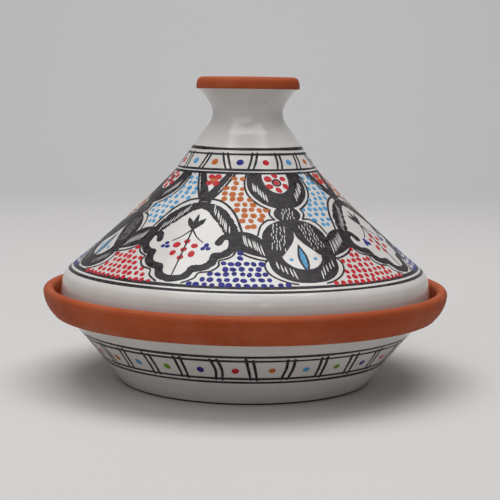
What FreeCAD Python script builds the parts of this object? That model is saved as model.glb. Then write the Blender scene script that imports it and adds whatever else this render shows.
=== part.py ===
import FreeCAD, Part
import math
import os

# A glazed tagine pot: a shallow footed dish with a thick bare-clay collar, and a tall
# hollow lid that stands on a ledge inside the collar and ends in a cup-shaped knob.
# Everything is thrown on a wheel, so every piece is one outline turned about +Z.
# Millimetres. The origin is on the table, under the middle of the foot.

# ---- Driving dimensions -------------------------------------------------------------
RIM_R = 136.0           # widest point of the collar
LIP_ROUND = 3.5         # radius of the collar's rounded lip
LIP_Z = 64.4            # top of the collar
COLLAR_FOOT_R = 129.1   # lower outer edge of the collar
COLLAR_FOOT_Z = 45.8    # underside of the collar
COLLAR_OVERHANG = 7.6   # how far that underside stands out from the bowl
LEDGE_Z = 52.0          # ledge that carries the lid
LEDGE_INNER_R = 112.8   # where the ledge turns down into the dish

FOOT_R = 84.4           # outer edge of the foot on the table
FOOT_RING = 9.5         # width of the ring that touches the table
FOOT_RECESS = 2.6       # hollow under the floor
BARE_FOOT = 1.3         # height of bare clay above the table
FLOOR_Z = 8.2           # inside floor of the dish
FLOOR_R = 76.0          # edge of the flat of that floor

LID_R = 124.2           # widest point of the lid
LID_SEAT_GAP = 0.15     # clearance under the resting lid
LID_WALL = 6.2          # thickness of the lid
SHOULDER = (119.1, 75.8)   # top of the lid's rounded shoulder
WAIST = (48.1, 141.5)      # where the slope of the lid turns steeper
THROAT = (30.2, 167.0)     # where it turns up to the neck
CROWN_RISE = 6.4        # rise of the closed end inside the lid
NECK = (22.5, 178.0)       # the crease between the lid and its knob

KNOB_R = 34.5           # bare rim of the knob
KNOB_RIM_Z = 195.6      # underside of that rim
KNOB_TOP = 203.5        # top of the knob, the height of the whole pot
CUP_FLOOR_Z = 186.0     # bottom of the hollow in the knob

GLAZE = 0.4             # thickness of a coat of glaze on the outside
LINER = 0.5             # thickness of the glaze inside the dish and the lid


# ---- Helpers ------------------------------------------------------------------------
# An outline is a chain of points (r, z): each three in a row, sharing their ends with
# the next three, are the start, a middle point and the end of one arc.
def centre_of(start, middle, end):
    """Centre of the circle through three points, or None where they are in line."""
    ax, az = middle[0] - start[0], middle[1] - start[1]
    bx, bz = end[0] - start[0], end[1] - start[1]
    cross = 2.0 * (ax * bz - az * bx)
    if abs(cross) < 1e-6:
        return None
    a2 = ax * ax + az * az
    b2 = bx * bx + bz * bz
    return (start[0] + (bz * a2 - az * b2) / cross, start[1] + (ax * b2 - bx * a2) / cross)


def left_normal(arc_points, point):
    """Unit normal of an arc at one of its points, to the left of the way it runs."""
    start, middle, end = arc_points
    centre = centre_of(*arc_points)
    run_x, run_z = end[0] - start[0], end[1] - start[1]
    if centre is None:
        length = math.hypot(run_x, run_z)
        return (-run_z / length, run_x / length)
    x, z = point[0] - centre[0], point[1] - centre[1]
    length = math.hypot(x, z)
    mid_x, mid_z = middle[0] - centre[0], middle[1] - centre[1]
    side = 1.0 if -run_z * mid_x + run_x * mid_z > 0 else -1.0
    return (side * x / length, side * z / length)


def shifted(chain, distance):
    """The chain moved sideways to its left by a distance, or to its right if negative."""
    arcs = [chain[i:i + 3] for i in range(0, len(chain) - 2, 2)]
    moved = []
    for i, point in enumerate(chain):
        before = arcs[max(0, (i - 1) // 2)]
        after = arcs[min(len(arcs) - 1, i // 2)]
        n1 = left_normal(before, point)
        n2 = left_normal(after, point)
        mitre = 1.0 + n1[0] * n2[0] + n1[1] * n2[1]
        step = distance / mitre
        moved.append((point[0] + step * (n1[0] + n2[0]), point[1] + step * (n1[1] + n2[1])))
    return moved


def edges_of(chain):
    """The arcs of a chain, with straight lines where the points are in line."""
    edges = []
    for i in range(0, len(chain) - 2, 2):
        start, middle, end = [FreeCAD.Vector(r, 0, z) for r, z in chain[i:i + 3]]
        if centre_of(*chain[i:i + 3]) is None:
            edges.append(Part.LineSegment(start, end).toShape())
        else:
            edges.append(Part.Arc(start, middle, end).toShape())
    return edges


def straight(*corners):
    """A chain of straight lines through the corners."""
    chain = [corners[0]]
    for start, end in zip(corners, corners[1:]):
        chain += [((start[0] + end[0]) / 2, (start[1] + end[1]) / 2), end]
    return chain


def dome(edge, middle_z):
    """The rest of a chain from its edge to the axis, as an arc centred on the axis."""
    r, z = edge
    centre_z = (middle_z ** 2 - r ** 2 - z ** 2) / (2 * (middle_z - z))
    radius = middle_z - centre_z
    half_angle = math.asin(r / abs(radius)) / 2
    halfway = (abs(radius) * math.sin(half_angle), centre_z + radius * math.cos(half_angle))
    return [halfway, (0.0, middle_z)]


def turned(*chains):
    """The solid of revolution inside chains that follow each other round a section."""
    edges = []
    for i, chain in enumerate(chains):
        edges += edges_of(chain)
        following = chains[(i + 1) % len(chains)][0]
        if math.dist(chain[-1], following) > 1e-6:
            edges += edges_of(straight(chain[-1], following))
    face = Part.Face(Part.Wire(edges))
    return face.revolve(FreeCAD.Vector(0, 0, 0), FreeCAD.Vector(0, 0, 1), 360)


def save(name, shape):
    shape.exportStep("parts/" + name + ".step")
    box = shape.optimalBoundingBox()
    print(f"{name:20s} valid {shape.isValid()}  volume {shape.Volume / 1000:8.1f} cm3"
          f"  z {box.ZMin:6.1f} to {box.ZMax:6.1f}  r {box.XMax:6.1f}")


# ---- Outlines that the clay shares with its glaze ---------------------------------------
def bowl_outside():
    """The sloping outer wall, from the bare foot up to the crease under the collar."""
    crease_r = COLLAR_FOOT_R - COLLAR_OVERHANG
    flare = (crease_r - FOOT_R) / COLLAR_FOOT_Z
    return [
        (FOOT_R + flare * BARE_FOOT, BARE_FOOT),
        (102.0, 23.0),
        (crease_r, COLLAR_FOOT_Z),
    ]


def bowl_inside():
    """The inner wall and floor, from just under the ledge down to the axis."""
    wall = [(LEDGE_INNER_R - 1.0, LEDGE_Z - 2.2), (99.0, 31.5), (86.0, 15.0)]
    heel = [(81.6, 10.4), (FLOOR_R, FLOOR_Z)]
    return wall + heel + straight(heel[-1], (0.0, FLOOR_Z))[1:]


def lid_outside():
    """The lid from its bare base ring, over the shoulder and up to the throat."""
    side = [(LID_R - 0.6, LEDGE_Z + 2.4), (LID_R, LEDGE_Z + 9.0), (LID_R - 0.6, LEDGE_Z + 15.2)]
    shoulder = [(LID_R - 2.0, LEDGE_Z + 20.0), SHOULDER]
    slope = [(80.3, 109.6), WAIST]
    upper = [(38.5, 155.0), THROAT]
    return side + shoulder + slope + upper


def lid_neck():
    """The sweep from the throat up to the crease."""
    return [THROAT, (25.8, 172.8), NECK]


def knob_outside():
    """The flare of the knob, from the neck up to its bare rim."""
    return [NECK, (25.9, 187.0), (KNOB_R - 1.7, KNOB_RIM_Z)]


# ---- The dish -------------------------------------------------------------------------
def make_dish():
    """Clay body, outer glaze and inner glaze of the dish."""
    glazed_wall = bowl_outside()
    wall = shifted(glazed_wall, GLAZE)
    glazed_inside = bowl_inside()
    inside = shifted(glazed_inside, LINER)

    ring_inner_r = FOOT_R - FOOT_RING
    foot_round = [(FOOT_R - 0.7, 0.0), (FOOT_R + 0.1, 0.35), wall[0]]
    collar_low = (COLLAR_FOOT_R - 0.6, COLLAR_FOOT_Z)
    lip_middle_r = RIM_R - LIP_ROUND
    lip_middle_z = LIP_Z - LIP_ROUND
    bend = LIP_ROUND * math.sqrt(0.5)
    well_r = RIM_R - 2 * LIP_ROUND - 0.3
    collar = [
        collar_low,
        (COLLAR_FOOT_R - 0.18, COLLAR_FOOT_Z + 0.18),
        (COLLAR_FOOT_R, COLLAR_FOOT_Z + 0.6),
        (134.1, COLLAR_FOOT_Z + 7.6),
        (RIM_R, lip_middle_z),
        (lip_middle_r + bend, lip_middle_z + bend),
        (lip_middle_r, LIP_Z),
        (lip_middle_r - bend, lip_middle_z + bend),
        (lip_middle_r - LIP_ROUND, lip_middle_z),
    ]
    ledge = [
        (well_r, LEDGE_Z + 2.0),
        (well_r - 0.6, LEDGE_Z + 0.6),
        (well_r - 2.0, LEDGE_Z),
    ]
    ledge_edge = [
        (LEDGE_INNER_R + 1.2, LEDGE_Z),
        (LEDGE_INNER_R, LEDGE_Z - 0.6),
        inside[0],
    ]
    under = straight(inside[-1], (0.0, FOOT_RECESS), (ring_inner_r - 2.4, FOOT_RECESS),
                     (ring_inner_r, 0.0), foot_round[0])
    save("dish_body", turned(under, foot_round, wall, collar, ledge, ledge_edge, inside))
    save("dish_outside_glaze", turned(glazed_wall, wall[::-1]))
    save("dish_inside_glaze", turned(glazed_inside, inside[::-1]))


# ---- The lid --------------------------------------------------------------------------
def make_lid():
    """Clay cone of the lid with its outer and inner glaze."""
    glazed_outside = lid_outside() + lid_neck()[1:]
    outside = shifted(glazed_outside, GLAZE)
    outside[-1] = (outside[-1][0], NECK[1])

    glazed_inside = shifted(lid_outside(), LID_WALL)
    glazed_inside += dome(glazed_inside[-1], glazed_inside[-1][1] + CROWN_RISE)
    inside = shifted(glazed_inside, -LINER)

    seat_z = LEDGE_Z + LID_SEAT_GAP
    outer_r = outside[0][0]
    inner_r = inside[0][0]
    seat_outside = [(outer_r - 1.4, seat_z), (outer_r - 0.4, seat_z + 0.6), outside[0]]
    seat_inside = [inside[0], (inner_r + 0.35, seat_z + 0.6), (inner_r + 1.2, seat_z)]
    top = straight((0.0, NECK[1]), inside[-1])
    save("lid_cone", turned(seat_outside, outside, top, inside[::-1], seat_inside))
    save("lid_outside_glaze", turned(glazed_outside, outside[::-1]))
    save("lid_inside_glaze", turned(glazed_inside, inside[::-1]))


def make_knob():
    """The cup-shaped knob: glazed flare, bare rounded rim and a shallow hollow."""
    glazed_flare = knob_outside()
    flare = shifted(glazed_flare, GLAZE)
    flare[0] = (flare[0][0], NECK[1])
    rim = [
        (KNOB_R - 0.3, KNOB_RIM_Z),
        (KNOB_R - 0.06, KNOB_RIM_Z + 0.5),
        (KNOB_R, KNOB_RIM_Z + 1.6),
        (KNOB_R - 0.1, KNOB_RIM_Z + 3.3),
        (KNOB_R - 0.5, KNOB_TOP - 2.9),
        (KNOB_R - 1.6, KNOB_TOP - 1.0),
        (KNOB_R - 3.9, KNOB_TOP),
        (KNOB_R - 5.6, KNOB_TOP - 0.8),
        (KNOB_R - 6.4, KNOB_TOP - 2.6),
    ]
    cup_edge = (15.0, CUP_FLOOR_Z + 0.5)
    cup = [(22.6, CUP_FLOOR_Z + 4.4), (19.8, CUP_FLOOR_Z + 1.7), cup_edge]
    cup += dome(cup_edge, CUP_FLOOR_Z)
    base = straight((0.0, NECK[1]), flare[0])
    save("lid_knob", turned(flare, rim, cup, base))
    save("knob_glaze", turned(glazed_flare, flare[::-1]))


os.makedirs("parts", exist_ok=True)
make_dish()
make_lid()
make_knob()
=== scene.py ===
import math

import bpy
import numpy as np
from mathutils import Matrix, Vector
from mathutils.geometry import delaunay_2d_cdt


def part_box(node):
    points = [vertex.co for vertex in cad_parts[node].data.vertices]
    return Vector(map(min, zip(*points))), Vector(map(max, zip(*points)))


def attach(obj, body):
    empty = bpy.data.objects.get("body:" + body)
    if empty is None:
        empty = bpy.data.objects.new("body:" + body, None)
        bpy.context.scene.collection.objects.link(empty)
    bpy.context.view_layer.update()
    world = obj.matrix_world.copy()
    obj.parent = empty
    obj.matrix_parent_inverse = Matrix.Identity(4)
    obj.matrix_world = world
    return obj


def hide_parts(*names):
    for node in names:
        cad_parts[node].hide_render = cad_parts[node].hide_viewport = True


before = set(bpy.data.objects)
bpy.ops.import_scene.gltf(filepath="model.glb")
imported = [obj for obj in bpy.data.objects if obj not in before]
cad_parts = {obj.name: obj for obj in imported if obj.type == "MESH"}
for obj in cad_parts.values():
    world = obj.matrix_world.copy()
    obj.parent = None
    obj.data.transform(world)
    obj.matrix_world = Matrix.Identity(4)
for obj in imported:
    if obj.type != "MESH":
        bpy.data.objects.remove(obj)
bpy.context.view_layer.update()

# %% [markdown]
# A painted tagine pot. A potter throws a shallow dish and a tall hollow lid from red clay,
# dips them in white glaze but leaves the thick collar and the rim of the knob bare, and a
# painter covers the lid with brushwork. The frame brings the CAD pieces, each where it belongs;
# the cells below make finer meshes in the same places.

MM = 0.001

# %% [markdown]
# Wheel-thrown pottery is one outline turned about an axis. Blender's Screw or Spin could turn
# it, but a small function of our own keeps the outline in millimetres, gives poles and seams
# that are closed, and lets the same outline place the paint later. An outline is a chain of
# points (r, z): each three in a row, sharing their ends, make one arc.

# %% Driving sizes, read from the frame where it has them
def cad_size(node, corner, axis):
    """One coordinate of a CAD node's box, in millimetres."""
    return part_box(node)[corner][axis] / MM


RIM_R = cad_size("dish_body", 1, 0)
LIP_Z = cad_size("dish_body", 1, 2)
COLLAR_FOOT_Z = 45.8
COLLAR_FOOT_R = 129.1
LIP_ROUND = 3.5
LEDGE_Z = 52.0
LEDGE_INNER_R = 112.8
FOOT_R = 84.4
FLOOR_Z = 8.2
BARE_FOOT = cad_size("dish_outside_glaze", 0, 2)
CREASE_R = cad_size("dish_outside_glaze", 1, 0)

LID_R = cad_size("lid_outside_glaze", 1, 0)
SEAT_Z = cad_size("lid_cone", 0, 2)
NECK_Z = cad_size("lid_knob", 0, 2)
KNOB_R = cad_size("lid_knob", 1, 0)
KNOB_TOP = cad_size("lid_knob", 1, 2)
KNOB_RIM_Z = 195.6
CUP_FLOOR_Z = 186.0
SHOULDER = (119.1, 75.8)
WAIST = (48.1, 141.5)
THROAT = (30.2, 167.0)
NECK = (22.5, NECK_Z)
LID_WALL = 6.2
GLAZE = 0.4
FOOT_RECESS = 2.6
COLLAR_BULGE = (134.1, COLLAR_FOOT_Z + 7.6)
CROWN_RISE = 6.4
print("collar", round(RIM_R, 1), "lid", round(LID_R, 1), "knob", round(KNOB_R, 1))


# %% Outlines made of arcs
def centre_of(start, middle, end):
    """Centre of the circle through three points, or None where they are in line."""
    ax, az = middle[0] - start[0], middle[1] - start[1]
    bx, bz = end[0] - start[0], end[1] - start[1]
    cross = 2.0 * (ax * bz - az * bx)
    if abs(cross) < 1e-6:
        return None
    a2 = ax * ax + az * az
    b2 = bx * bx + bz * bz
    return np.array((start[0] + (bz * a2 - az * b2) / cross, start[1] + (ax * b2 - bx * a2) / cross))


def arc_points(start, middle, end, step):
    """Points along one arc, its last point left out."""
    start, middle, end = np.array(start, float), np.array(middle, float), np.array(end, float)
    length = np.linalg.norm(middle - start) + np.linalg.norm(end - middle)
    count = max(2, int(math.ceil(length / step)))
    share = np.linspace(0.0, 1.0, count, endpoint=False)[:, None]
    centre = centre_of(start, middle, end)
    if centre is None:
        return start + (end - start) * share
    spokes = np.array([start, middle, end]) - centre
    angles = np.unwrap(np.arctan2(spokes[:, 1], spokes[:, 0]))
    turn = angles[0] + (angles[2] - angles[0]) * share
    return centre + np.linalg.norm(spokes[0]) * np.hstack([np.cos(turn), np.sin(turn)])


def sampled(chain, step=1.0):
    """A chain of arcs as an array of closely spaced points."""
    runs = [arc_points(*chain[i:i + 3], step) for i in range(0, len(chain) - 2, 2)]
    return np.vstack(runs + [np.array([chain[-1]], float)])


def offset(points, distance):
    """The points moved to the left of the way they run."""
    run = np.gradient(points, axis=0)
    run /= np.linalg.norm(run, axis=1)[:, None]
    return points + distance * np.stack([-run[:, 1], run[:, 0]], axis=1)


def straight(*corners):
    """Points along straight lines through the corners."""
    chain = [corners[0]]
    for start, end in zip(corners, corners[1:]):
        chain += [((start[0] + end[0]) / 2, (start[1] + end[1]) / 2), end]
    return sampled(chain, 2.5)


# %% The thrown outlines
def hand_waves(points, amount=0.10):
    """Faint ridges that the potter's fingers leave as the wall rises."""
    r, z = points[:, 0], points[:, 1]
    wave = np.sin(z * 0.83) + 0.6 * np.sin(z * 0.37 + 1.0) + 0.4 * np.sin(z * 1.61 + 2.0)
    moved = points.copy()
    moved[:, 0] = r - amount * (1.0 + 0.5 * wave) * np.clip((r - 24.0) / 12.0, 0.0, 1.0)
    return moved


def lid_outside():
    side = [(LID_R - 0.6, SEAT_Z + 2.25), (LID_R, SEAT_Z + 8.9), (LID_R - 0.6, SEAT_Z + 15.0)]
    shoulder = [(LID_R - 2.0, SEAT_Z + 19.9), SHOULDER]
    slope = [(80.3, 109.6), WAIST, (38.5, 155.0), THROAT]
    neck = [(25.8, 172.8), NECK]
    return hand_waves(sampled(side + shoulder + slope + neck))


def bowl_outside():
    foot = (FOOT_R + 1.05, BARE_FOOT)
    return hand_waves(sampled([foot, (102.0, 23.0), (CREASE_R, COLLAR_FOOT_Z)]))


def bowl_inside():
    wall = [(LEDGE_INNER_R - 1.0, LEDGE_Z - 2.2), (99.0, 31.5), (86.0, 15.0)]
    return np.vstack([sampled(wall + [(81.6, 10.4), (76.0, FLOOR_Z)])[:-1],
                      straight((76.0, FLOOR_Z), (0.0, FLOOR_Z))])


def knob_outside():
    return sampled([NECK, (25.9, 187.0), (KNOB_R - 1.7, KNOB_RIM_Z)], 0.7)


LID_LINE = lid_outside()
BOWL_LINE = bowl_outside()
print("outline points:", len(LID_LINE), "lid,", len(BOWL_LINE), "bowl")

# %% [markdown]
# The mesh of a turned piece is a grid: one ring of points for each point of the outline. Where
# the outline starts or ends on the axis the ring becomes a single pole. The map (UV) holds the
# angle and the distance along the outline, which is how a potter's brush and the glaze run.

# %% A lathe for outlines
SEGMENTS = 240


def on_circle(turn, r, z):
    """Place of a point, in metres: turn is 0 at the front (-Y) and grows to the right (+X)."""
    return np.stack([r * np.sin(turn) * MM, -r * np.cos(turn) * MM, z * MM], axis=-1)


def new_object(name, data):
    """An object for some data, placed in the scene."""
    made = bpy.data.objects.new(name, data)
    bpy.context.scene.collection.objects.link(made)
    return made


def mesh_object(name, points, faces, turn_and_run=None):
    """A new object from points in metres, with its map if one is given."""
    mesh = bpy.data.meshes.new(name)
    mesh.from_pydata([tuple(p) for p in points], [], faces)
    if turn_and_run is not None:
        layer = mesh.uv_layers.new(name="turned")
        corner = np.empty(len(mesh.loops), dtype=np.int32)
        mesh.loops.foreach_get("vertex_index", corner)
        layer.data.foreach_set("uv", turn_and_run[corner].astype(np.float32).ravel())
    mesh.polygons.foreach_set("use_smooth", np.ones(len(mesh.polygons), dtype=bool))
    mesh.set_sharp_from_angle(angle=math.radians(40))
    mesh.update()
    return new_object(name, mesh)


def lathe(name, *outlines):
    """Turns outlines that follow each other round a closed section, counter-clockwise."""
    line = np.vstack(outlines)
    gap = np.linalg.norm(np.diff(line, axis=0), axis=1)
    line = line[np.concatenate([[True], gap > 0.02])]
    if line[0, 0] > 0.01 and np.linalg.norm(line[0] - line[-1]) < 0.02:
        line = line[:-1]
    run = np.concatenate([[0.0], np.cumsum(np.linalg.norm(np.diff(line, axis=0), axis=1))])
    turns = np.linspace(-math.pi, math.pi, SEGMENTS, endpoint=False)
    points, maps, rings = [], [], []
    for (r, z), along in zip(line, run):
        first = len(points)
        if r < 0.01:
            points.append(on_circle(0.0, 0.0, z))
            maps.append((0.5, along * MM))
            rings.append([first] * SEGMENTS)
            continue
        points.extend(on_circle(turns, np.full(SEGMENTS, r), np.full(SEGMENTS, z)))
        maps.extend([(0.5 + t / math.tau, along * MM) for t in turns])
        rings.append(list(range(first, first + SEGMENTS)))
    closed = line[0, 0] > 0.01
    pairs = list(zip(rings, rings[1:])) + ([(rings[-1], rings[0])] if closed else [])
    faces = []
    for low, high in pairs:
        for i in range(SEGMENTS):
            j = (i + 1) % SEGMENTS
            face = [low[i], low[j], high[j], high[i]]
            face = [v for n, v in enumerate(face) if v not in face[:n]]
            if len(face) > 2:
                faces.append(tuple(face))
    return mesh_object(name, points, faces, np.array(maps))


# %% [markdown]
# The dish: a clay body with a foot ring, a sloping wall, and a thick collar whose ledge carries
# the lid. Its glaze is a coat under half a millimetre thick, outside and inside, and stops
# short of the foot and of the collar. The coats are pieces of their own that share the clay's
# surface, so the bare edge of the glaze shows as a real step.

# %% The dish
def make_dish():
    wall = offset(BOWL_LINE, GLAZE)
    inside = bowl_inside()
    clay_inside = offset(inside, GLAZE)
    clay_inside[-1, 0] = 0.0
    foot = sampled([(FOOT_R - 0.7, 0.0), (FOOT_R + 0.1, 0.35), tuple(wall[0])], 0.3)
    under = straight((0.0, FOOT_RECESS), (FOOT_R - 11.9, FOOT_RECESS), (FOOT_R - 9.5, 0.0),
                     (FOOT_R - 0.7, 0.0))
    middle_r, middle_z = RIM_R - LIP_ROUND, LIP_Z - LIP_ROUND
    bend = LIP_ROUND * math.sqrt(0.5)
    collar = sampled([
        (COLLAR_FOOT_R - 0.6, COLLAR_FOOT_Z), (COLLAR_FOOT_R - 0.18, COLLAR_FOOT_Z + 0.18),
        (COLLAR_FOOT_R, COLLAR_FOOT_Z + 0.6), COLLAR_BULGE, (RIM_R, middle_z),
        (middle_r + bend, middle_z + bend), (middle_r, LIP_Z),
        (middle_r - bend, middle_z + bend), (middle_r - LIP_ROUND, middle_z),
    ], 0.6)
    well_r = RIM_R - 2 * LIP_ROUND - 0.3
    well = sampled([(well_r, LEDGE_Z + 2.0), (well_r - 0.6, LEDGE_Z + 0.6), (well_r - 2.0, LEDGE_Z)], 0.4)
    edge = sampled([(LEDGE_INNER_R + 1.2, LEDGE_Z), (LEDGE_INNER_R, LEDGE_Z - 0.6),
                    tuple(clay_inside[0])], 0.4)
    clay = lathe("dish_clay", under, foot, wall, collar, well, edge, clay_inside)
    outer = lathe("dish_glaze_outside", BOWL_LINE, wall[::-1], BOWL_LINE[:1])
    inner = lathe("dish_glaze_inside", clay_inside[::-1], inside)
    return clay, outer, inner


dish_clay, dish_glaze_outside, dish_glaze_inside = make_dish()
print("dish faces:", len(dish_clay.data.polygons))


# %% [markdown]
# The lid: a hollow cone that rests on the ledge. Its wall keeps one thickness all the way up,
# so the inner outline is the outer one moved inwards. The knob is thrown apart and stuck on
# with slip at the crease of the neck, where the glaze gathers; its hollow stays cool to the touch.

# %% The lid and its knob
def dome(edge, top_z, step=1.0):
    """From an edge point up or down to the axis, as an arc centred on the axis."""
    r, z = edge
    centre_z = (top_z ** 2 - r ** 2 - z ** 2) / (2 * (top_z - z))
    radius = top_z - centre_z
    half = math.asin(r / abs(radius)) / 2
    halfway = (abs(radius) * math.sin(half), centre_z + radius * math.cos(half))
    return sampled([tuple(edge), halfway, (0.0, top_z)], step)


def make_lid():
    clay_out = offset(LID_LINE, GLAZE)
    clay_out[-1] = (clay_out[-1, 0], NECK_Z)
    slope = LID_LINE[LID_LINE[:, 1] < THROAT[1]]
    inside = offset(slope, LID_WALL)
    inside = np.vstack([inside[:-1], dome(inside[-1], inside[-1, 1] + CROWN_RISE)])
    clay_in = offset(inside, -GLAZE)
    clay_in[-1, 0] = 0.0
    outer_r, inner_r = clay_out[0, 0], clay_in[0, 0]
    seat_out = sampled([(outer_r - 1.4, SEAT_Z), (outer_r - 0.4, SEAT_Z + 0.6), tuple(clay_out[0])], 0.4)
    seat_in = sampled([tuple(clay_in[0]), (inner_r + 0.35, SEAT_Z + 0.6), (inner_r + 1.2, SEAT_Z)], 0.4)
    top = straight(tuple(clay_out[-1]), (0.0, NECK_Z))
    clay = lathe("lid_clay", clay_in[::-1], seat_in, seat_out, clay_out, top)
    outer = lathe("lid_glaze_outside", LID_LINE, clay_out[::-1], LID_LINE[:1])
    inner = lathe("lid_glaze_inside", inside[::-1], clay_in)
    return clay, outer, inner


def make_knob():
    flare = knob_outside()
    clay_flare = offset(flare, GLAZE)
    clay_flare[0] = (clay_flare[0, 0], NECK_Z)
    rim = sampled([
        (KNOB_R - 0.3, KNOB_RIM_Z), (KNOB_R - 0.06, KNOB_RIM_Z + 0.5), (KNOB_R, KNOB_RIM_Z + 1.6),
        (KNOB_R - 0.1, KNOB_RIM_Z + 3.3), (KNOB_R - 0.5, KNOB_TOP - 2.9),
        (KNOB_R - 1.6, KNOB_TOP - 1.0), (KNOB_R - 3.9, KNOB_TOP),
        (KNOB_R - 5.6, KNOB_TOP - 0.8), (KNOB_R - 6.4, KNOB_TOP - 2.6),
    ], 0.4)
    cup = sampled([(22.6, CUP_FLOOR_Z + 4.4), (19.8, CUP_FLOOR_Z + 1.7), (15.0, CUP_FLOOR_Z + 0.5)], 0.7)
    floor = dome((15.0, CUP_FLOOR_Z + 0.5), CUP_FLOOR_Z)
    base = straight((0.0, NECK_Z), tuple(clay_flare[0]))
    clay = lathe("knob_clay", base, clay_flare, rim, cup, floor)
    coat = lathe("knob_glaze_coat", flare, clay_flare[::-1], flare[:1])
    return clay, coat


def at_height(line, z):
    """The point of a rising outline at a height."""
    return np.array([np.interp(z, line[:, 1], line[:, 0]), z])


def make_neck_pool():
    """Glaze that gathered in the crease under the knob: a curve that leaves both walls smoothly."""
    low_z, high_z = NECK_Z - 5.2, NECK_Z + 6.8
    flare = knob_outside()
    start, end = at_height(LID_LINE, low_z), at_height(flare, high_z)
    t = np.linspace(0.0, 1.0, 25)[:, None]
    out_of_start = (at_height(LID_LINE, low_z + 0.5) - start) * 2.0 * (high_z - low_z)
    into_end = (end - at_height(flare, high_z - 0.5)) * 2.0 * (high_z - low_z)
    curve = ((2 * t ** 3 - 3 * t ** 2 + 1) * start + (t ** 3 - 2 * t ** 2 + t) * out_of_start
             + (3 * t ** 2 - 2 * t ** 3) * end + (t ** 3 - t ** 2) * into_end)
    curve[[0, -1], 0] -= 0.12
    back = straight(tuple(curve[-1]), (NECK[0] - 0.3, NECK_Z + 0.4), tuple(curve[0]))
    return lathe("neck_glaze_pool", curve, back)


neck_glaze_pool = make_neck_pool()
lid_clay, lid_glaze_outside, lid_glaze_inside = make_lid()
knob_clay, knob_glaze_coat = make_knob()
print("lid faces:", len(lid_clay.data.polygons), "knob faces:", len(knob_clay.data.polygons))

# %% [markdown]
# The painting. On the real pot it is a thin film of pigment between clay and glaze. It could be
# a colour texture, but here each brush stroke is a sheet a few hundredths of a millimetre
# thick that follows the wall, so its edge is as crisp as the real one from any distance. A
# stroke is planned on the unrolled wall: across is the turn in degrees, up is the height in
# millimetres, and its width is in millimetres wherever it is on the cone.

# %% The unrolled wall
PLAN_R = 80.0    # radius at which a plan of the wall is drawn true to size


class Wall:
    """A turned surface that paint is laid on: height gives radius, run and slope."""

    def __init__(self, line):
        order = np.argsort(line[:, 1])
        self.z = line[order, 1]
        self.r = line[order, 0]
        step = np.hypot(np.diff(self.z), np.diff(self.r))
        self.run = np.concatenate([[0.0], np.cumsum(step)])
        self.lean = np.gradient(self.r, self.z)

    def plan(self, degrees, z):
        """Plan place of a point given in degrees round and millimetres up."""
        return np.stack([np.radians(degrees) * PLAN_R, np.interp(z, self.z, self.run)], axis=-1)

    def stretch(self, plan_y):
        """How much wider a width across must be drawn on the plan at this place."""
        return PLAN_R / np.interp(plan_y, self.run, self.r)

    def place(self, plan, lift):
        """Place on the pot, in metres, of plan points, lifted off the surface."""
        turn = plan[:, 0] / PLAN_R
        r = np.interp(plan[:, 1], self.run, self.r)
        z = np.interp(plan[:, 1], self.run, self.z)
        lean = np.interp(z, self.z, self.lean)
        size = np.hypot(1.0, lean)
        return on_circle(turn, r + lift / size, z - lift * lean / size)

    def outward(self, plan):
        """Outward direction at plan points."""
        return (self.place(plan, 1.0) - self.place(plan, 0.0)) / MM


lid_wall = Wall(LID_LINE)
bowl_wall = Wall(BOWL_LINE)
knob_wall = Wall(knob_outside())
print("unrolled lid wall:", round(lid_wall.run[-1], 1), "mm up")


# %% [markdown]
# A brush stroke is a smooth line through a few chosen points with a width at each one. It is
# cut into short flat pieces with round ends. A closed shape is a smooth loop; a point given
# twice makes a corner. Both get a tiny seeded tremble, because a hand isn't a ruler.

# %% Strokes and shapes on the plan
def smooth(points, closed, step):
    """Catmull-Rom line through rows of numbers."""
    points = np.array(points, float)
    count = len(points)
    rows = []
    spans = count if closed else count - 1
    for i in range(spans):
        if closed:
            a, b, c, d = (points[(i + k) % count] for k in (-1, 0, 1, 2))
        else:
            b, c = points[i], points[i + 1]
            a = points[i - 1] if i > 0 else 2 * b - c
            d = points[i + 2] if i + 2 < count else 2 * c - b
        pieces = max(1, int(math.ceil(np.linalg.norm((c - b)[:2]) / step)))
        for t in np.arange(pieces) / pieces:
            rows.append(0.5 * (2 * b + (c - a) * t + (2 * a - 5 * b + 4 * c - d) * t ** 2
                               + (3 * b - a - 3 * c + d) * t ** 3))
    if not closed:
        rows.append(points[-1])
    return np.array(rows)


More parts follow.
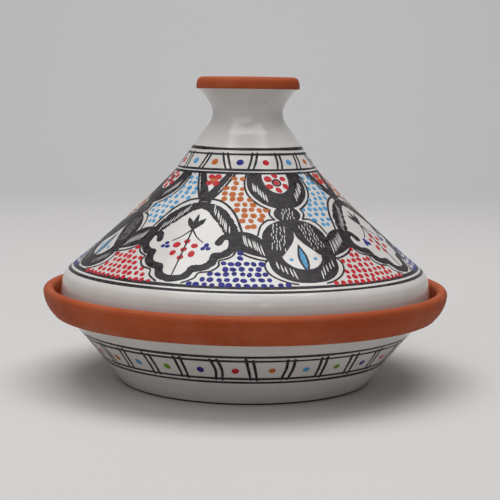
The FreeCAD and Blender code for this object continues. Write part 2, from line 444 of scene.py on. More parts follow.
class Painting:
    """Shapes in the order they are painted: a later one covers an earlier one."""

    def __init__(self, wall, seed, step=1.3):
        self.wall = wall
        self.rng = np.random.default_rng(seed)
        self.step = step
        self.faces = []
        self.inks = []

    def add(self, polygon, ink):
        self.faces.append(np.array(polygon))
        self.inks.append(ink)

    def shape(self, centre, points, ink="black"):
        """A closed shape: points are (degrees from the centre line, height)."""
        rows = np.array([(centre + p[0], p[1]) for p in points])
        plan = self.wall.plan(rows[:, 0], rows[:, 1])
        loop = smooth(plan, True, self.step)
        self.add(loop + self.rng.normal(0.0, 0.05, loop.shape), ink)

    def stroke(self, centre, points, ink="black", tremble=0.06):
        """A brush stroke: points are (degrees from the centre line, height, width in mm)."""
        rows = np.array([(centre + p[0], p[1], p[2]) for p in points])
        plan = np.column_stack([self.wall.plan(rows[:, 0], rows[:, 1]), rows[:, 2]])
        line = smooth(plan, False, self.step)
        if ink == "black":
            line[:, 2] += 0.25
        line[:, 2] = np.maximum(line[:, 2] * (1 + self.rng.normal(0, tremble, len(line))), 0.12)
        wide = self.wall.stretch(line[:, 1])
        run = np.gradient(line[:, :2], axis=0)
        run[:, 0] /= wide
        run /= np.maximum(np.linalg.norm(run, axis=1), 1e-9)[:, None]
        side = np.stack([-run[:, 1] * wide, run[:, 0]], axis=1) * line[:, 2:3] / 2
        left, right = line[:, :2] + side, line[:, :2] - side
        for i in range(len(line) - 1):
            self.add([right[i], right[i + 1], left[i + 1], left[i]], ink)
        for i, way in ((0, -1.0), (-1, 1.0)):
            fan = np.linspace(-math.pi / 2, math.pi / 2, 6)
            ahead = run[i] * np.array([wide[i], 1.0]) * line[i, 2] / 2 * way
            across = side[i] * way
            self.add([line[i, :2] + ahead * math.cos(f) + across * math.sin(f) for f in fan], ink)

    def scratches(self, centre, start, end, count, length, lean, width=0.55):
        """A row of short scratched lines in which the white glaze shows."""
        for share in np.linspace(0.0, 1.0, count):
            degrees = start[0] + (end[0] - start[0]) * share + self.rng.normal(0, 0.15)
            z = start[1] + (end[1] - start[1]) * share + self.rng.normal(0, 0.25)
            half = length * (0.75 + 0.5 * self.rng.random()) / 2
            degrees_half = half * lean
            self.stroke(centre, [(degrees - degrees_half, z - half, width * 0.6),
                                 (degrees + degrees_half * 0.2, z, width),
                                 (degrees + degrees_half, z + half, width * 0.4)], "bare")


# %% [markdown]
# To turn overlapping strokes into one clean sheet, Blender's own constrained triangulation
# cuts all outlines where they cross and says which strokes each triangle lies in. The last one
# painted decides its colour; "bare" takes the paint away again. Extra points are sprinkled
# between the outlines so that the triangles are small enough to follow the curved wall.

# %% From plan to a film of paint
FILM = 0.07      # how far the paint stands off the glaze, in mm
SUNK = 0.12      # how far its underside reaches below


def covered(points, polygon):
    """Which points a polygon winds round."""
    winding = np.zeros(len(points), dtype=int)
    for a, b in zip(polygon, np.roll(polygon, -1, axis=0)):
        side = (b[0] - a[0]) * (points[:, 1] - a[1]) - (b[1] - a[1]) * (points[:, 0] - a[0])
        rising = (a[1] <= points[:, 1]) & (points[:, 1] < b[1]) & (side > 0)
        falling = (b[1] <= points[:, 1]) & (points[:, 1] < a[1]) & (side < 0)
        winding += rising.astype(int) - falling.astype(int)
    return winding != 0


def cut_plan(painting, grain=2.6):
    """Triangulates a painting: points on the plan and, for each ink, its triangles."""
    points, edges = [], []
    for polygon in painting.faces:
        first, count = len(points), len(polygon)
        points.extend(Vector((float(x), float(y))) for x, y in polygon)
        edges.extend((first + i, first + (i + 1) % count) for i in range(count))
    cloud = np.vstack(painting.faces)
    low, high = cloud.min(axis=0), cloud.max(axis=0)
    for x in np.arange(low[0], high[0], grain):
        for y in np.arange(low[1], high[1], grain):
            points.append(Vector((float(x), float(y))))
    verts, _, tris, _, _, _ = delaunay_2d_cdt(points, edges, [], 0, 1e-4, False)
    plan = np.array([tuple(v) for v in verts])
    corners = plan[np.array([tuple(t) for t in tris])]
    middles = corners.mean(axis=1)
    topmost = np.full(len(tris), -1)
    for n, polygon in enumerate(painting.faces):
        low, high = polygon.min(axis=0), polygon.max(axis=0)
        near = np.nonzero(((middles >= low) & (middles <= high)).all(axis=1))[0]
        topmost[near[covered(middles[near], polygon)]] = n
    by_ink = {}
    for tri, owner in zip(tris, topmost):
        if owner >= 0:
            by_ink.setdefault(painting.inks[owner], []).append(tuple(tri))
    return plan, by_ink


def film_parts(wall, plan, triangles, lift):
    """Closed sheet over some triangles of a plan: points in metres, faces and map."""
    used = sorted({v for tri in triangles for v in tri})
    index = {v: i for i, v in enumerate(used)}
    flat = plan[used]
    count = len(used)
    points = np.vstack([wall.place(flat, lift), wall.place(flat, -SUNK)])
    faces, edges = [], {}
    for tri in triangles:
        a, b, c = (index[v] for v in tri)
        p, q, s = flat[a], flat[b], flat[c]
        if (q[0] - p[0]) * (s[1] - p[1]) - (q[1] - p[1]) * (s[0] - p[0]) < 0:
            b, c = c, b
        faces.append((a, b, c))
        faces.append((c + count, b + count, a + count))
        for e in ((a, b), (b, c), (c, a)):
            edges[e] = edges.get(e, 0) + 1
    for a, b in edges:
        if (b, a) not in edges:
            faces.append((b, a, a + count, b + count))
    return points, faces, np.vstack([flat, flat]) * MM


def make_films(name, paintings, lifts):
    """One mesh object per ink for a list of paintings."""
    stacks = {}
    for painting in paintings:
        plan, by_ink = cut_plan(painting)
        for ink, triangles in by_ink.items():
            if ink == "bare":
                continue
            points, faces, maps = film_parts(painting.wall, plan, triangles, lifts.get(ink, FILM))
            stack = stacks.setdefault(ink, ([], [], []))
            first = sum(len(p) for p in stack[0])
            stack[0].append(points)
            stack[1].extend([tuple(v + first for v in face) for face in faces])
            stack[2].append(maps)
    films = {}
    for ink, (points, faces, maps) in stacks.items():
        films[ink] = mesh_object(name + "_" + ink, np.vstack(points), faces, np.vstack(maps))
        print(name, ink, "faces:", len(faces))
    return films


# %% [markdown]
# The lid's ornament is a plain folk scheme of our own that any painter could repeat: four
# scalloped shields and four trefoils by turns, joined by leaves. Every figure is symmetrical
# about its centre line, so only its right half is described and the other half is mirrored.
# Where a dry point was dragged through the wet black, short white lines show.

# %% Drawing both halves of a figure
def mirrored(points):
    """The same points on the left of the centre line."""
    return [(-p[0], *p[1:]) for p in points]


def pair(art, centre, points, ink="black"):
    """A stroke and its mirror image."""
    art.stroke(centre, points, ink)
    art.stroke(centre, mirrored(points), ink)


def whole(half):
    """A closed outline from its right half, top to bottom."""
    return half + mirrored(half)[::-1]


def pair_of_scratches(art, centre, start, end, count, length, lean, width):
    """A row of scratched lines and its mirror image."""
    art.scratches(centre, start, end, count, length, lean, width)
    art.scratches(centre, (-start[0], start[1]), (-end[0], end[1]), count, length, -lean, width)


# %% The shield
SHIELD_ARM = [(0.0, 122.6, 4.6), (6.8, 120.5, 7.2), (12.8, 115.6, 9.6), (17.0, 109.4, 8.8),
              (19.0, 104.0, 6.6)]
SHIELD_LOBES = [
    [(18.9, 104.0, 6.0), (18.8, 99.0, 5.4), (15.9, 95.5, 5.2), (12.6, 94.6, 5.2)],
    [(12.8, 94.6, 5.4), (12.2, 91.0, 5.6), (9.8, 88.4, 5.2), (6.4, 87.6, 5.0)],
    [(6.2, 87.6, 5.4), (4.2, 83.2, 5.2), (0.0, 81.5, 4.8)],
]
SHIELD_EDGE = [(4.2, 126.3, 1.3), (9.4, 125.3, 1.2), (14.7, 122.2, 1.4), (19.2, 116.6, 1.4),
               (22.2, 108.5, 1.3)]
SHIELD_HEM = [(20.8, 99.2, 1.0), (19.2, 94.8, 1.1), (16.2, 92.8, 1.1), (14.7, 92.2, 1.0), (14.9, 89.4, 1.1),
              (12.6, 86.6, 1.1), (8.8, 85.4, 1.0), (7.8, 82.6, 1.0), (4.4, 79.9, 1.0)]


def paint_shield(art, c):
    """A scalloped shield under a fork, with a sprig inside."""
    pair(art, c, [(10.8, 141.0, 4.0), (5.6, 134.4, 4.9), (1.4, 127.0, 6.0)])
    art.stroke(c, [(0.0, 128.5, 7.6), (0.0, 124.5, 8.6)])
    for run in [SHIELD_ARM, *SHIELD_LOBES]:
        pair(art, c, run)
    pair(art, c, [(18.0, 105.0, 4.4), (14.8, 104.8, 4.4), (13.2, 101.8, 4.4)])
    pair_of_scratches(art, c, (7.2, 120.8), (16.6, 109.0), 9, 4.2, -0.10, 0.85)
    art.stroke(c, [(0.0, 110.0, 1.0), (0.0, 83.6, 0.7)])
    for lean in (-1.0, 0.0, 1.0):
        tip_z = 116.8 if lean == 0.0 else 114.8
        art.stroke(c, [(0.0, 108.6, 1.0), (lean * 2.6, 112.4, 3.4), (lean * 4.4, tip_z, 0.6)])
    pair(art, c, [(0.4, 108.2, 0.9), (3.4, 104.4, 0.6), (6.8, 101.6, 0.4)])
    pair(art, c, [(15.2, 141.6, 1.3), (9.6, 133.6, 1.3), (4.2, 126.3, 1.2)])
    pair(art, c, SHIELD_EDGE)
    pair(art, c, SHIELD_HEM)


# %% The trefoil
ARCH_BLOSSOM_Z = 136.4
ARCH = [(20.4, 142.0), (20.4, 142.0), (21.2, 137.4), (20.0, 132.4), (16.8, 128.0), (11.6, 124.0),
        (6.0, 121.7), (0.0, 121.0)]
ARCH_OPENING = [(9.6, 142.2), (9.6, 142.2), (9.8, 138.2), (7.6, 133.8), (4.0, 131.0), (0.0, 130.0)]
PETAL = [(0.3, 114.4), (5.5, 114.3), (10.8, 111.8), (13.9, 107.4), (14.3, 103.0), (13.1, 98.4),
         (12.0, 94.3), (8.1, 94.4), (4.8, 98.3), (2.0, 102.3), (0.3, 106.2)]
CUP_OUTSIDE = [(12.6, 97.2), (12.9, 93.8), (12.7, 90.3), (11.4, 86.4), (8.6, 83.2), (4.8, 81.1), (0.0, 80.5)]
CUP_INSIDE = [(0.0, 87.4), (3.0, 88.2), (5.4, 90.0), (7.2, 92.6), (8.1, 95.2)]
ARCH_EDGE = [(21.2, 141.8, 1.1), (22.5, 137.6, 1.2), (21.9, 132.6, 1.1), (19.4, 128.2, 1.1),
             (15.0, 124.2, 1.1), (10.6, 121.6, 1.1), (8.6, 120.6, 1.1)]
BEAD_EDGE = [(8.6, 120.6, 1.1), (9.3, 117.8, 1.1), (7.3, 114.9, 1.0)]
PETAL_EDGE = [(7.3, 114.9, 1.1), (10.9, 114.6, 1.1), (14.4, 111.4, 1.0), (16.0, 106.2, 1.0)]
CUP_EDGE = [(13.2, 93.4, 1.0), (14.4, 90.4, 1.0), (13.8, 86.8, 1.0), (11.2, 83.4, 1.0), (7.4, 80.9, 1.0),
            (4.8, 80.1, 0.9)]


def almond(half_width, low, high):
    """A pointed oval on the centre line."""
    shares = np.linspace(0.0, 1.0, 7)
    return [(half_width * math.sin(math.pi * t), high + (low - high) * t) for t in shares]


def paint_trefoil(art, c):
    """A horseshoe arch, a bead, two hatched petals, and a cup that holds a blue almond."""
    art.shape(c, whole(ARCH))
    art.shape(c, whole(ARCH_OPENING), "bare")
    ring = [(2.9 * math.sin(t), ARCH_BLOSSOM_Z + 1.9 * math.cos(t), 1.0) for t in np.linspace(0.0, 6.3, 13)]
    art.stroke(c, ring)
    pair_of_scratches(art, c, (9.4, 127.6), (16.6, 134.2), 6, 4.2, 0.12, 1.0)
    bead = [(7.1 * math.sin(t), 118.0 + 4.8 * math.cos(t)) for t in np.arange(12) * math.tau / 12]
    art.shape(c, bead)
    art.shape(c, PETAL)
    art.shape(c, mirrored(PETAL))
    art.shape(c, CUP_OUTSIDE + mirrored(CUP_OUTSIDE)[::-1] + mirrored(CUP_INSIDE)[::-1] + CUP_INSIDE)
    for row in range(4):
        for column in range(3 + row % 2):
            hatch(art, c, (column - (2 + row % 2) / 2) * 2.0, 120.3 - row * 1.5)
    for side in (-1.0, 1.0):
        for row in range(8):
            for column in range(4):
                across = side * (6.1 + row * 0.34 + (column - 1.5) * 1.6)
                hatch(art, c, across, 111.2 - row * 1.72 + (column - 1.5) * 0.45)
    pair_of_scratches(art, c, (4.6, 85.2), (10.2, 89.8), 5, 4.2, 0.12, 1.0)
    art.shape(c, whole(almond(1.9, 85.2, 101.4)))
    art.shape(c, whole(almond(1.05, 87.2, 99.2)), "sky")
    for run in (ARCH_EDGE, BEAD_EDGE, PETAL_EDGE, CUP_EDGE):
        pair(art, c, run)


def hatch(art, c, across, z):
    """One white dash of the hatching on a bead or petal."""
    shift = art.rng.normal(0, 0.25, 2)
    length = 0.45 + 0.45 * art.rng.random()
    art.stroke(c, [(across + shift[0], z - length + shift[1], 0.45),
                   (across + shift[0] + 0.25, z + length + shift[1], 0.6)], "bare")


# %% Leaves between the figures
LEAF = [(11.8, 93.6), (13.2, 102.0), (16.8, 106.2), (21.6, 108.1), (26.6, 107.2), (26.6, 99.8), (22.4, 97.4),
        (18.6, 95.6), (15.0, 94.4)]


def paint_leaves(art, c):
    """A hatched leaf on each side of a trefoil, with a thin line under it."""
    art.shape(c, LEAF)
    art.shape(c, mirrored(LEAF))
    pair_of_scratches(art, c, (14.8, 98.8), (21.8, 103.8), 8, 5.6, 0.20, 0.85)
    pair(art, c, [(13.2, 92.4, 1.0), (17.0, 93.4, 1.1), (21.0, 95.4, 1.1), (25.0, 98.6, 1.0)])


# %% The figures round the lid
FIRST_SHIELD = -24.1
SHIELDS = [FIRST_SHIELD + 90.0 * quarter for quarter in range(4)]
TREFOILS = [FIRST_SHIELD + 45.0 + 90.0 * quarter for quarter in range(4)]
lid_paintings = []
for quarter in range(4):
    art = Painting(lid_wall, 40 + quarter)
    paint_leaves(art, TREFOILS[quarter])
    paint_shield(art, SHIELDS[quarter])
    paint_trefoil(art, TREFOILS[quarter])
    lid_paintings.append(art)
lid_films = make_films("lid_brushwork", lid_paintings, {"sky": FILM + 0.02})


# %% [markdown]
# The borders: rings that run right round, and between them cells divided by pairs of strokes
# with one spot in each. The rings were painted while the pot turned under a still brush, so
# they are lathed strips whose width wanders a little as the brush drank and dried.

# %% Rings painted on the wheel
def paint_rings(name, wall, rings, seed):
    """Closed strips right round the pot; each ring is (height, width, sag to the front)."""
    rng = np.random.default_rng(seed)
    turns = np.linspace(-math.pi, math.pi, SEGMENTS, endpoint=False)
    points, maps, faces = [], [], []
    for z, width, sag in rings:
        phase = rng.random(4) * math.tau
        wander = 0.10 * np.sin(turns + phase[0]) + 0.07 * np.sin(3 * turns + phase[1])
        swell = 1.0 + 0.16 * np.sin(2 * turns + phase[2]) + 0.08 * np.sin(7 * turns + phase[3])
        middle = wall.plan(0.0, z)[1] + wander - sag * np.cos(turns - math.radians(20.0))
        half = width * swell / 2
        first = len(points)
        for side, lift in ((-1.0, -SUNK), (-1.0, FILM), (1.0, FILM), (1.0, -SUNK)):
            plan = np.stack([turns * PLAN_R, middle + side * half], axis=1)
            points.extend(wall.place(plan, lift))
            maps.extend(plan * MM)
        for k in range(4):
            low, high = first + k * SEGMENTS, first + (k + 1) % 4 * SEGMENTS
            for i in range(SEGMENTS):
                j = (i + 1) % SEGMENTS
                faces.append((low + i, low + j, high + j, high + i))
    return mesh_object(name, points, faces, np.array(maps))


LID_RINGS = [(157.0, 2.2, 0.0), (153.6, 1.6, 0.0), (144.1, 1.6, 0.0), (141.9, 1.6, 0.0),
             (79.0, 2.5, 1.0), (76.3, 2.1, 0.4)]
BOWL_RINGS = [(35.9, 2.0, 0.0), (33.0, 1.8, 0.0), (19.9, 1.8, 0.0), (17.0, 2.1, 0.0)]
lid_rings = paint_rings("lid_rings", lid_wall, LID_RINGS, 7)
dish_rings = paint_rings("dish_rings", bowl_wall, BOWL_RINGS, 8)
print("rings:", len(LID_RINGS), "on the lid,", len(BOWL_RINGS), "on the dish")


# %% Pairs of strokes between the cells
def paint_bars(wall, cells, first, low, high, apart, width, seed):
    """Pairs of strokes across a border; apart and width are in degrees and mm."""
    rng = np.random.default_rng(seed)
    art = Painting(wall, seed, 1.6)
    for cell in range(cells):
        middle = first + 360.0 * cell / cells + rng.normal(0, 0.035) * 360.0 / cells
        lean = rng.normal(0.0, 0.35) * apart
        bow = abs(rng.normal(0.12, 0.1)) * apart
        for side in (-0.5, 0.5):
            spread = apart * (1.0 + rng.normal(0, 0.08))
            top = middle + side * spread + lean
            foot = middle + side * spread - lean
            over = rng.random(2) * 0.9
            belly = ((top + foot) / 2 + bow, (low + high) / 2, width)
            art.stroke(0.0, [(foot, low - over[0], width * 0.8), belly,
                             (top, high + over[1], width * 1.1)])
    return art


LID_CELLS = 16
BOWL_CELLS = 30
LID_FIRST = 5.0
BOWL_FIRST = 3.0
lid_strokes = paint_bars(lid_wall, LID_CELLS, LID_FIRST, 144.4, 153.4, 4.3, 1.25, 21)
dish_strokes = paint_bars(bowl_wall, BOWL_CELLS, BOWL_FIRST, 19.6, 33.4, 2.2, 1.6, 22)
lid_bars = make_films("lid_bars", [lid_strokes], {})
dish_bars = make_films("dish_bars", [dish_strokes], {})

# %% [markdown]
# Several hundred spots of colour fill the panels and borders. Each is one touch of a round
# brush. This is what Geometry Nodes are for: the places are points, and the tree sets one
# small domed disc on each, faces it outwards, turns it and varies its size with a fixed seed.
# The result is turned into a plain mesh, because an exported model can't hold instances.

# %% One touch of the brush
def make_touch():
    """A low dome of radius one millimetre whose edge dips under the surface."""
    sides = 14
    points = [(0.0, 0.0, FILM * MM)]
    for radius, height in ((0.62, FILM * 0.95), (0.9, FILM * 0.8), (1.0, -SUNK)):
        for i in range(sides):
            turn = math.tau * i / sides
            points.append((radius * MM * math.cos(turn), radius * MM * math.sin(turn), height * MM))
    faces = [(0, 1 + i, 1 + (i + 1) % sides) for i in range(sides)]
    for ring in (0, 1):
        low, high = 1 + ring * sides, 1 + (ring + 1) * sides
        faces += [(low + i, high + i, high + (i + 1) % sides, low + (i + 1) % sides) for i in range(sides)]
    faces.append(tuple(1 + 2 * sides + i for i in reversed(range(sides))))
    return mesh_object("touch", points, faces)


touch = make_touch()


# %% The Geometry Nodes tree that sets the spots
def spot_tree():
    """Sets the Touch object on points, out along their "facing" attribute."""
    tree = bpy.data.node_groups.new("set_spots", "GeometryNodeTree")
    face = tree.interface
    face.new_socket("Geometry", in_out="INPUT", socket_type="NodeSocketGeometry")
    for name, kind, value in (("Touch", "NodeSocketObject", None), ("Radius", "NodeSocketFloat", 1.8),
                              ("Variation", "NodeSocketFloat", 0.14), ("Seed", "NodeSocketInt", 1),
                              ("Paint", "NodeSocketMaterial", None)):
        socket = face.new_socket(name, in_out="INPUT", socket_type=kind)
        if value is not None:
            socket.default_value = value
    face.new_socket("Geometry", in_out="OUTPUT", socket_type="NodeSocketGeometry")

    def add(kind, *wires, **settings):
        """A node with its settings; a wire is (input, the output that feeds it)."""
        node = tree.nodes.new(kind)
        for setting, value in settings.items():
            setattr(node, setting, value)
        for socket, source in wires:
            if isinstance(source, (int, float, str)):
                node.inputs[socket].default_value = source
            else:
                tree.links.new(source, node.inputs[socket])
        return node

    given = add("NodeGroupInput").outputs
    facing = add("GeometryNodeInputNamedAttribute", ("Name", "facing"), data_type="FLOAT_VECTOR")
    align = add("FunctionNodeAlignRotationToVector", ("Vector", facing.outputs["Attribute"]), axis="Z")
    spin = add("FunctionNodeRandomValue", (3, math.tau), ("Seed", given["Seed"]), data_type="FLOAT")
    about = add("ShaderNodeCombineXYZ", ("Z", spin.outputs[1]))
    to_turn = add("FunctionNodeEulerToRotation", (0, about.outputs[0]))
    turned = add("FunctionNodeRotateRotation", (0, align.outputs[0]), (1, to_turn.outputs[0]),
                 rotation_space="LOCAL")
    least = add("ShaderNodeMath", (0, 1.0), (1, given["Variation"]), operation="SUBTRACT")
    most = add("ShaderNodeMath", (0, 1.0), (1, given["Variation"]), operation="ADD")
    again = add("ShaderNodeMath", (0, given["Seed"]), (1, 11.0), operation="ADD")
    scale = add("ShaderNodeCombineXYZ", ("Z", 1.0))
    for side, seed in (("X", given["Seed"]), ("Y", again.outputs[0])):
        size = add("FunctionNodeRandomValue", (2, least.outputs[0]), (3, most.outputs[0]),
                   ("Seed", seed), data_type="FLOAT")
        scaled = add("ShaderNodeMath", (0, size.outputs[1]), (1, given["Radius"]), operation="MULTIPLY")
        tree.links.new(scaled.outputs[0], scale.inputs[side])
    info = add("GeometryNodeObjectInfo", ("Object", given["Touch"]))
    place = add("GeometryNodeInstanceOnPoints", ("Points", given["Geometry"]),
                ("Instance", info.outputs["Geometry"]), ("Rotation", turned.outputs[0]),
                ("Scale", scale.outputs[0]))
    real = add("GeometryNodeRealizeInstances", ("Geometry", place.outputs["Instances"]))
    paint = add("GeometryNodeSetMaterial", ("Geometry", real.outputs["Geometry"]),
                ("Material", given["Paint"]))
    add("NodeGroupOutput", ("Geometry", paint.outputs["Geometry"]))
    return tree


SPOTS = spot_tree()


def set_spots(name, wall, places, radius, seed, paint):
    """A plain mesh with one spot at each plan place."""
    plan = np.array(places)
    points = wall.place(plan, 0.0)
    mesh = bpy.data.meshes.new(name + "_places")
    mesh.from_pydata([tuple(p) for p in points], [], [])
    facing = mesh.attributes.new("facing", "FLOAT_VECTOR", "POINT")
    facing.data.foreach_set("vector", wall.outward(plan).astype(np.float32).ravel())
    holder = new_object(name + "_places", mesh)
    modifier = holder.modifiers.new("spots", "NODES")
    modifier.node_group = SPOTS
    values = {"Touch": touch, "Radius": radius, "Variation": 0.18, "Seed": seed, "Paint": paint}
    for item in SPOTS.interface.items_tree:
        if item.in_out == "INPUT" and item.name in values:
            modifier[item.identifier] = values[item.name]
    depsgraph = bpy.context.evaluated_depsgraph_get()
    plain = bpy.data.meshes.new_from_object(holder.evaluated_get(depsgraph))
    plain.name = name
    bpy.data.objects.remove(holder)
    plain.polygons.foreach_set("use_smooth", np.ones(len(plain.polygons), dtype=bool))
    print(name, "spots:", len(places))
    return new_object(name, plain)


# %% [markdown]
# The panels between the figures. Each is a loop on the plan, and its spots lie in staggered
# rows, a little off their places, wherever there is room inside the loop.

# %% Where the spots go
def room_inside(points, loop, stretch):
    """Distance from each point to the loop, positive inside, in true millimetres."""
    inside = np.zeros(len(points), dtype=bool)
    nearest = np.full(len(points), 1e9)
    for a, b in zip(loop, np.roll(loop, -1, axis=0)):
        crosses = (a[1] > points[:, 1]) != (b[1] > points[:, 1])
        rise = b[1] - a[1] if abs(b[1] - a[1]) > 1e-9 else 1e-9
        inside ^= crosses & (points[:, 0] < a[0] + (points[:, 1] - a[1]) * (b[0] - a[0]) / rise)
        start = (points - a) / np.stack([stretch, np.ones_like(stretch)], axis=1)
        along = (b - a) / np.stack([stretch, np.ones_like(stretch)], axis=1)
        share = np.clip((start * along).sum(1) / np.maximum((along * along).sum(1), 1e-9), 0, 1)
        nearest = np.minimum(nearest, np.linalg.norm(start - along * share[:, None], axis=1))
    return np.where(inside, nearest, -nearest)


def fill_panel(rng, wall, centre, outline, apart, row_apart, margin):
    """Spots in staggered rows that reach from edge to edge of a panel."""
    corners = np.array([(centre + x, z) for x, z in outline])
    loop = smooth(wall.plan(corners[:, 0], corners[:, 1]), True, 3.0)
    low, high = loop.min(axis=0), loop.max(axis=0)
    places = []
    for n, y in enumerate(np.arange(low[1] + margin, high[1], row_apart)):
        wide = float(wall.stretch(y))
        x = np.arange(low[0], high[0], 0.25)
        row = np.stack([x, np.full_like(x, y)], axis=1)
        free = room_inside(row, loop, np.full_like(x, wide)) > 0.8 * margin
        turns = np.flatnonzero(np.diff(np.concatenate([[0], free.astype(int), [0]])))
        for start, end in turns.reshape(-1, 2):
            first, last = x[start], x[end - 1]
            count = int((last - first) / wide / apart + 0.4)
            shares = np.arange(count + 1) / count if count else np.array([0.5])
            if n % 2 and count:
                shares = (np.arange(count) + 0.5) / count
            for share in shares:
                places.append((first + (last - first) * share + rng.normal(0, 0.25) * wide,
                               y + rng.normal(0, 0.28)))
    return places


UPPER_PANEL = [(15.8, 142.4), (15.8, 142.4), (5.0, 127.2), (5.0, 127.2), (9.8, 126.2), (15.3, 123.2),
               (20.0, 117.2), (22.8, 109.4), (22.8, 109.4), (28.4, 107.4), (28.4, 107.4), (30.2, 112.2),
               (34.0, 115.4), (37.0, 115.5), (37.0, 115.5), (35.2, 118.0), (35.8, 121.2), (35.8, 121.2),
               (29.4, 125.0), (25.0, 129.0), (22.4, 133.2), (21.9, 138.0), (23.4, 142.6), (23.4, 142.6)]
LOWER_PANEL = [(21.4, 98.4), (21.4, 98.4), (24.4, 94.6), (28.6, 92.6), (30.8, 92.2), (30.8, 92.2),
               (30.1, 90.0), (30.8, 86.4), (33.4, 82.8), (37.2, 80.4), (39.8, 78.7), (39.8, 78.7),
               (4.6, 78.7), (4.6, 78.7), (8.4, 82.0), (9.6, 84.8), (13.4, 86.2), (15.6, 89.0), (15.5, 91.6),
               (17.6, 92.4), (20.2, 95.2)]

rng = np.random.default_rng(3)
spot_places = {"ochre": [], "cobalt": [], "sky": [], "red": []}
for at_shield in SHIELDS:
    spot_places["ochre"] += fill_panel(rng, lid_wall, at_shield, UPPER_PANEL, 4.9, 4.4, 1.3)
    spot_places["cobalt"] += fill_panel(rng, lid_wall, at_shield, LOWER_PANEL, 5.0, 4.35, 1.4)
    spot_places["sky"] += fill_panel(rng, lid_wall, at_shield, mirrored(UPPER_PANEL), 4.9, 4.3, 1.3)
    spot_places["red"] += fill_panel(rng, lid_wall, at_shield, mirrored(LOWER_PANEL), 4.9, 4.3, 1.4)
print({colour: len(places) for colour, places in spot_places.items()})


# %% Spots in the flowers and in the borders
SPRIG_BLOSSOM_Z = 97.4


def rosette(z, across, up, count=6, first=0.0):
    """Spots evenly round a centre, as (degrees from the centre line, height)."""
    turns = first + np.arange(count) * math.tau / count
    return [(across * math.sin(t), z + up * math.cos(t)) for t in turns]


FORK_BLOSSOM_Z = 137.6
SHIELD_RED = ([(0.0, SPRIG_BLOSSOM_Z)] + rosette(SPRIG_BLOSSOM_Z, 4.4, 4.4)
              + rosette(FORK_BLOSSOM_Z, 3.6, 2.6, 4, math.pi / 4))
SHIELD_BLUE = [(side * (8.6 + x), 99.0 + z) for side in (-1.0, 1.0) for x, z in rosette(0.0, 1.2, 1.2, 3)]
TREFOIL_RED = [(0.0, ARCH_BLOSSOM_Z)] + rosette(ARCH_BLOSSOM_Z, 6.6, 4.4)
TREFOIL_SKY = [(-4.6, 93.0), (4.6, 93.0)]


def around(wall, centre, spots):
    return [tuple(wall.plan(centre + x, z)) for x, z in spots]


flower_red, flower_blue, flower_sky, flower_ochre = [], [], [], []
for at_shield, at_trefoil in zip(SHIELDS, TREFOILS):
    flower_red += around(lid_wall, at_shield, SHIELD_RED) + around(lid_wall, at_trefoil, TREFOIL_RED)
    flower_blue += around(lid_wall, at_shield, SHIELD_BLUE)
    flower_sky += around(lid_wall, at_trefoil, TREFOIL_SKY)
    flower_ochre += around(lid_wall, at_shield, [(0.0, FORK_BLOSSOM_Z)])


def border_places(wall, cells, first, z, palette):
    """One spot in the middle of each cell, the colours taking turns."""
    places = {colour: [] for colour in palette}
    for cell in range(cells):
        middle = first + 360.0 * (cell + 0.5) / cells
        colour = palette[cell % len(palette)]
        places[colour].append(tuple(wall.plan(middle + rng.normal(0, 0.25), z + rng.normal(0, 0.2))))
    return places


lid_border = border_places(lid_wall, LID_CELLS, LID_FIRST, 148.6, ("red", "sky", "ochre", "cobalt"))
dish_border = border_places(bowl_wall, BOWL_CELLS, BOWL_FIRST, 26.0,
                            ("ochre", "sky", "green", "cobalt", "red"))

# %% [markdown]
# Materials. Fired clay is dull and sandy: tones of red-brown in soft clouds, dark and light
# grains, and the fine rings of the wheel. The effects that several materials share are node
# groups, built once with named sockets; each material places them with its own values.

# %% Helpers for node groups
def new_group(name, inputs, outputs):
    group = bpy.data.node_groups.new(name, "ShaderNodeTree")
    for label, kind, value in inputs:
        socket = group.interface.new_socket(label, in_out="INPUT", socket_type=kind)
        if value is not None:
            socket.default_value = value
    for label, kind in outputs:
        group.interface.new_socket(label, in_out="OUTPUT", socket_type=kind)
    return group, group.nodes.new("NodeGroupInput"), group.nodes.new("NodeGroupOutput")


def noise(tree, vector, scale, detail=4.0, rough=0.55):
    node = tree.nodes.new("ShaderNodeTexNoise")
    node.inputs["Scale"].default_value = scale
    node.inputs["Detail"].default_value = detail
    node.inputs["Roughness"].default_value = rough
    tree.links.new(vector, node.inputs["Vector"])
    return node.outputs["Fac"]


def specks(tree, vector, scale, inner, outer):
    """Round specks: one in the middle of a cell, fading from an inner to an outer distance."""
    node = tree.nodes.new("ShaderNodeTexVoronoi")
    node.inputs["Scale"].default_value = scale
    tree.links.new(vector, node.inputs["Vector"])
    return ramp(tree, node.outputs["Distance"], inner, outer, 1.0, 0.0)


def ramp(tree, value, low, high, from_value=0.0, to_value=1.0):
    """A value carried from one range to another and held at its ends."""
    node = tree.nodes.new("ShaderNodeMapRange")
    node.inputs["From Min"].default_value = low
    node.inputs["From Max"].default_value = high
    node.inputs["To Min"].default_value = from_value
    node.inputs["To Max"].default_value = to_value
    tree.links.new(value, node.inputs["Value"])
    return node.outputs["Result"]


def maths(tree, operation, first, second):
    node = tree.nodes.new("ShaderNodeMath")
    node.operation = operation
    for socket, value in zip(node.inputs, (first, second)):
        if isinstance(value, (int, float)):
            socket.default_value = value
        else:
            tree.links.new(value, socket)
    return node.outputs[0]


def blend_colour(tree, share, first, second, kind="MIX"):
    node = tree.nodes.new("ShaderNodeMix")
    node.data_type = "RGBA"
    node.blend_type = kind
    for socket, value in ((node.inputs["Factor"], share), (node.inputs[6], first), (node.inputs[7], second)):
        if isinstance(value, (int, float, tuple)):
            socket.default_value = value
        else:
            tree.links.new(value, socket)
    return node.outputs[2]


